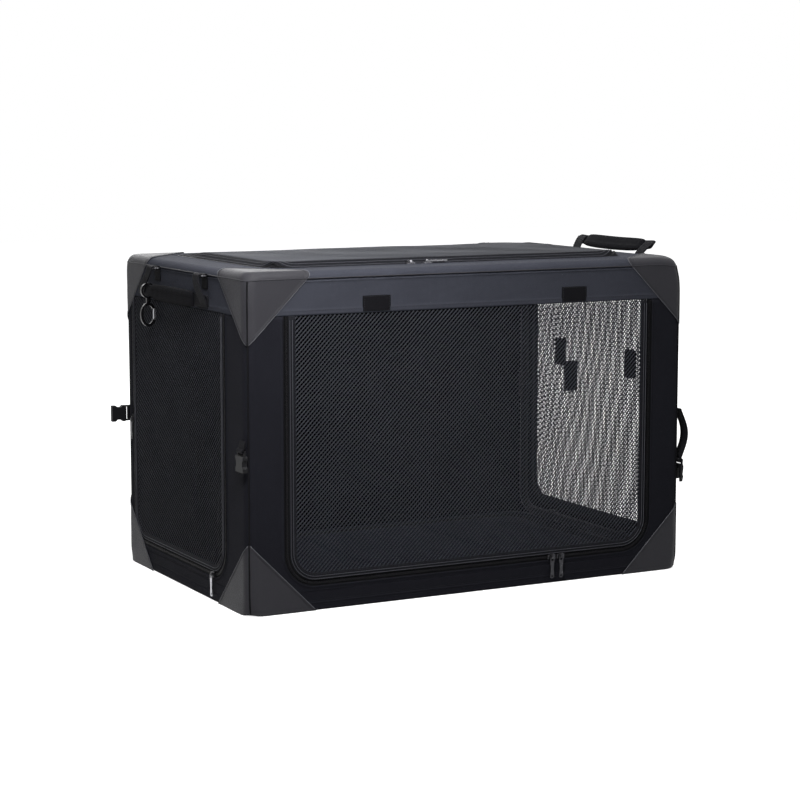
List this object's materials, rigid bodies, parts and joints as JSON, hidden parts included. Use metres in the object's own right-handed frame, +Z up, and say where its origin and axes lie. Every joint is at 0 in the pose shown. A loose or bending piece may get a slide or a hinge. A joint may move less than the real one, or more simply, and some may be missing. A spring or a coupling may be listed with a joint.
{
  "type": "folding soft-sided dog crate",
  "caption": "Rectangular fabric pet crate on a folding tube frame, with zipped mesh doors and hatch, leatherette corners and carrying handles.",
  "frame": {"origin": "middle of the base tray's underside, on the surface that the crate stands on", "axes": "+Z up, +X along the long front towards its right end, -Y out of the front door"},
  "size_m": [0.836, 0.5014, 0.5347],
  "materials": {
    "oxford": "matt black woven polyester",
    "leather": "dark grey faux leather, fine grain, slight sheen",
    "net": "black polyester mesh",
    "steel": "grey steel tube, dull",
    "webbing": "black ribbed webbing",
    "grip": "black padded sleeve",
    "gunmetal": "dark nickel plating, semi-gloss",
    "bright": "bright nickel plating",
    "buckle": "black moulded plastic, fine texture",
    "mat": "dark navy quilted fabric"
  },
  "bodies": {
    "base": {"base_tray": "oxford", "base_frame": "steel", "floor_mat": "mat", "front_wall": "oxford", "back_wall": "oxford", "left_wall": "oxford", "right_wall": "oxford", "front_left_lower_wrap": "leather", "front_right_lower_wrap": "leather", "back_left_lower_wrap": "leather", "back_right_lower_wrap": "leather"},
    "left_lower": {"left_lower_frame": "steel"},
    "left_upper": {"left_upper_frame": "steel"},
    "top": {"top_cover": "oxford", "top_frame": "steel", "front_left_upper_wrap": "leather", "front_right_upper_wrap": "leather", "back_left_upper_wrap": "leather", "back_right_upper_wrap": "leather", "left_front_ring": "gunmetal", "left_back_ring": "gunmetal", "right_front_ring": "gunmetal", "right_back_ring": "gunmetal"},
    "right_lower": {"right_lower_frame": "steel"},
    "right_upper": {"right_upper_frame": "steel"},
    "front_door": {"front_door": "net"},
    "left_door": {"left_door": "net"},
    "right_door": {"right_door": "net"},
    "top_door": {"top_door": "net"},
    "left_handle": {"left_handle_strap": "webbing", "left_handle_grip": "grip"},
    "right_handle": {"right_handle_strap": "webbing", "right_handle_grip": "grip"},
    "hook": {"snap_hook": "gunmetal"},
    "gate": {"snap_hook_gate": "bright"},
    "front_left_tab": {"front_left_tab_strap": "webbing", "front_left_tab_buckle": "buckle"},
    "back_left_tab": {"back_left_tab_strap": "webbing", "back_left_tab_buckle": "buckle"},
    "front_right_tab": {"front_right_tab_strap": "webbing"},
    "front_right_buckle": {"front_right_tab_buckle": "buckle"},
    "back_right_tab": {"back_right_tab_strap": "webbing"},
    "back_right_buckle": {"back_right_tab_buckle": "buckle"},
    "front_left_slider": {"front_left_slider": "gunmetal"},
    "front_left_pull": {"front_left_pull": "gunmetal"},
    "front_right_slider": {"front_right_slider": "gunmetal"},
    "front_right_pull": {"front_right_pull": "gunmetal"},
    "left_low_slider": {"left_low_slider": "gunmetal"},
    "left_low_pull": {"left_low_pull": "gunmetal"},
    "left_back_slider": {"left_back_slider": "gunmetal"},
    "left_back_pull": {"left_back_pull": "gunmetal"},
    "right_front_slider": {"right_front_slider": "gunmetal"},
    "right_front_pull": {"right_front_pull": "gunmetal"},
    "right_back_slider": {"right_back_slider": "gunmetal"},
    "right_back_pull": {"right_back_pull": "gunmetal"},
    "top_left_slider": {"top_left_slider": "gunmetal"},
    "top_left_pull": {"top_left_pull": "gunmetal"},
    "top_right_slider": {"top_right_slider": "gunmetal"},
    "top_right_pull": {"top_right_pull": "gunmetal"}
  },
  "joints": [
    {"name": "fold", "type": "hinge", "parent": "base", "child": "left_lower", "pos_m": [-0.3635, 0, 0.0303], "axis": [0, -1, 0], "range_deg": [-86, 0], "deforming": ["front_wall", "back_wall", "left_wall", "right_wall", "front_door", "left_door", "right_door", "front_left_lower_wrap", "front_right_lower_wrap", "back_left_lower_wrap", "back_right_lower_wrap", "front_left_upper_wrap", "front_right_upper_wrap", "back_left_upper_wrap", "back_right_upper_wrap"]},
    {"name": "left_knee", "type": "hinge", "parent": "left_lower", "child": "left_upper", "pos_m": [-0.3735, 0, 0.25425], "axis": [0, -1, 0], "range_deg": [0, 172]},
    {"name": "top_hinge", "type": "hinge", "parent": "left_upper", "child": "top", "pos_m": [-0.3635, 0, 0.4782], "axis": [0, -1, 0], "range_deg": [-86, 0]},
    {"name": "right_fold", "type": "hinge", "parent": "base", "child": "right_lower", "pos_m": [0.3635, 0, 0.0303], "axis": [0, -1, 0], "range_deg": [0, 86]},
    {"name": "right_knee", "type": "hinge", "parent": "right_lower", "child": "right_upper", "pos_m": [0.3735, 0, 0.25425], "axis": [0, -1, 0], "range_deg": [-172, 0]},
    {"name": "front_door_swing", "type": "hinge", "parent": "base", "child": "front_door", "pos_m": [0, -0.2435, 0.4405], "axis": [-1, 0, 0], "range_deg": [0, 110]},
    {"name": "left_door_swing", "type": "hinge", "parent": "base", "child": "left_door", "pos_m": [-0.382, 0, 0.4405], "axis": [0, 1, 0], "range_deg": [0, 100]},
    {"name": "right_door_swing", "type": "hinge", "parent": "base", "child": "right_door", "pos_m": [0.382, 0, 0.4405], "axis": [0, -1, 0], "range_deg": [0, 100]},
    {"name": "hatch_swing", "type": "hinge", "parent": "top", "child": "top_door", "pos_m": [0, 0.183, 0.5065], "axis": [-1, 0, 0], "range_deg": [0, 165]},
    {"name": "left_handle_swing", "type": "hinge", "parent": "top", "child": "left_handle", "pos_m": [-0.3945, 0, 0.494], "axis": [0, 1, 0], "range_deg": [0, 150]},
    {"name": "right_handle_swing", "type": "hinge", "parent": "top", "child": "right_handle", "pos_m": [0.3945, 0, 0.494], "axis": [0, -1, 0], "range_deg": [-140, 10]},
    {"name": "hook_swing", "type": "hinge", "parent": "left_handle", "child": "hook", "pos_m": [-0.3971, 0.103, 0.458], "axis": [0, 1, 0], "range_deg": [0, 100]},
    {"name": "gate_swing", "type": "hinge", "parent": "hook", "child": "gate", "pos_m": [-0.38671, 0.103, 0.41319], "axis": [0, -1, 0], "range_deg": [0, 20], "stiffness_Nm_per_rad": 0.01, "springref_deg": -17.19},
    {"name": "front_left_zip", "type": "slide", "parent": "front_door", "child": "front_left_slider", "axis": [1, 0, 0], "range_m": [-0.39, 0]},
    {"name": "front_left_pull_swing", "type": "hinge", "parent": "front_left_slider", "child": "front_left_pull", "pos_m": [0.1385, -0.2476, 0.042], "axis": [-1, 0, 0], "range_deg": [0, 170]},
    {"name": "front_right_zip", "type": "slide", "parent": "front_door", "child": "front_right_slider", "axis": [1, 0, 0], "range_m": [0, 0.1]},
    {"name": "front_right_pull_swing", "type": "hinge", "parent": "front_right_slider", "child": "front_right_pull", "pos_m": [0.155, -0.2476, 0.042], "axis": [-1, 0, 0], "range_deg": [0, 170]},
    {"name": "left_low_zip", "type": "slide", "parent": "left_door", "child": "left_low_slider", "axis": [0, 1, 0], "range_m": [0, 0.27]},
    {"name": "left_low_pull_swing", "type": "hinge", "parent": "left_low_slider", "child": "left_low_pull", "pos_m": [-0.3861, -0.115, 0.042], "axis": [0, 1, 0], "range_deg": [0, 170]},
    {"name": "left_back_zip", "type": "slide", "parent": "left_door", "child": "left_back_slider", "axis": [0, 0, -1], "range_m": [0, 0.14]},
    {"name": "left_back_pull_swing", "type": "hinge", "parent": "left_back_slider", "child": "left_back_pull", "pos_m": [-0.3861, 0.213, 0.24], "axis": [0, 1, 0], "range_deg": [0, 170]},
    {"name": "right_front_zip", "type": "slide", "parent": "right_door", "child": "right_front_slider", "axis": [0, 1, 0], "range_m": [-0.13, 0]},
    {"name": "right_front_pull_swing", "type": "hinge", "parent": "right_front_slider", "child": "right_front_pull", "pos_m": [0.3861, 0.01675, 0.042], "axis": [0, -1, 0], "range_deg": [0, 170]},
    {"name": "right_back_zip", "type": "slide", "parent": "right_door", "child": "right_back_slider", "axis": [0, 1, 0], "range_m": [0, 0.13]},
    {"name": "right_back_pull_swing", "type": "hinge", "parent": "right_back_slider", "child": "right_back_pull", "pos_m": [0.3861, 0.03325, 0.042], "axis": [0, -1, 0], "range_deg": [0, 170]},
    {"name": "top_left_zip", "type": "slide", "parent": "top_door", "child": "top_left_slider", "axis": [1, 0, 0], "range_m": [-0.18, 0]},
    {"name": "top_left_pull_swing", "type": "hinge", "parent": "top_left_slider", "child": "top_left_pull", "pos_m": [-0.0785, -0.179, 0.5106], "axis": [1, 0, 0], "range_deg": [0, 170]},
    {"name": "top_right_zip", "type": "slide", "parent": "top_door", "child": "top_right_slider", "axis": [1, 0, 0], "range_m": [0, 0.3]},
    {"name": "top_right_pull_swing", "type": "hinge", "parent": "top_right_slider", "child": "top_right_pull", "pos_m": [-0.0485, -0.179, 0.5106], "axis": [0, -1, 0], "range_deg": [0, 170]},
    {"name": "front_left_tab_drop", "type": "slide", "parent": "base", "child": "front_left_tab", "axis": [0, 0, 1], "range_m": [-0.1901, 0]},
    {"name": "front_right_tab_drop", "type": "slide", "parent": "base", "child": "front_right_tab", "axis": [0, 0, 1], "range_m": [-0.1571, 0]},
    {"name": "front_right_buckle_lift", "type": "hinge", "parent": "front_right_tab", "child": "front_right_buckle", "pos_m": [0.38557, -0.233, 0.177], "axis": [0, -1, 0], "range_deg": [0, 90]},
    {"name": "back_left_tab_drop", "type": "slide", "parent": "base", "child": "back_left_tab", "axis": [0, 0, 1], "range_m": [-0.1901, 0]},
    {"name": "back_right_tab_drop", "type": "slide", "parent": "base", "child": "back_right_tab", "axis": [0, 0, 1], "range_m": [-0.1571, 0]},
    {"name": "back_right_buckle_lift", "type": "hinge", "parent": "back_right_tab", "child": "back_right_buckle", "pos_m": [0.38557, 0.233, 0.177], "axis": [0, -1, 0], "range_deg": [0, 90]}
  ],
  "couplings": [
    {"joint": "left_knee", "follows": "fold", "ratio": -2},
    {"joint": "top_hinge", "follows": "fold", "ratio": 1},
    {"joint": "right_fold", "follows": "fold", "ratio": -1},
    {"joint": "right_knee", "follows": "fold", "ratio": 2},
    {"joint": "hook_swing", "follows": "left_door_swing", "ratio": 1},
    {"joint": "front_left_tab_drop", "follows": "fold", "m_per_rad": 0.12658},
    {"joint": "front_right_tab_drop", "follows": "fold", "m_per_rad": 0.1046},
    {"joint": "front_right_buckle_lift", "follows": "fold", "ratio": -1.0465},
    {"joint": "back_left_tab_drop", "follows": "fold", "m_per_rad": 0.12658},
    {"joint": "back_right_tab_drop", "follows": "fold", "m_per_rad": 0.1046},
    {"joint": "back_right_buckle_lift", "follows": "fold", "ratio": -1.0465}
  ]
}
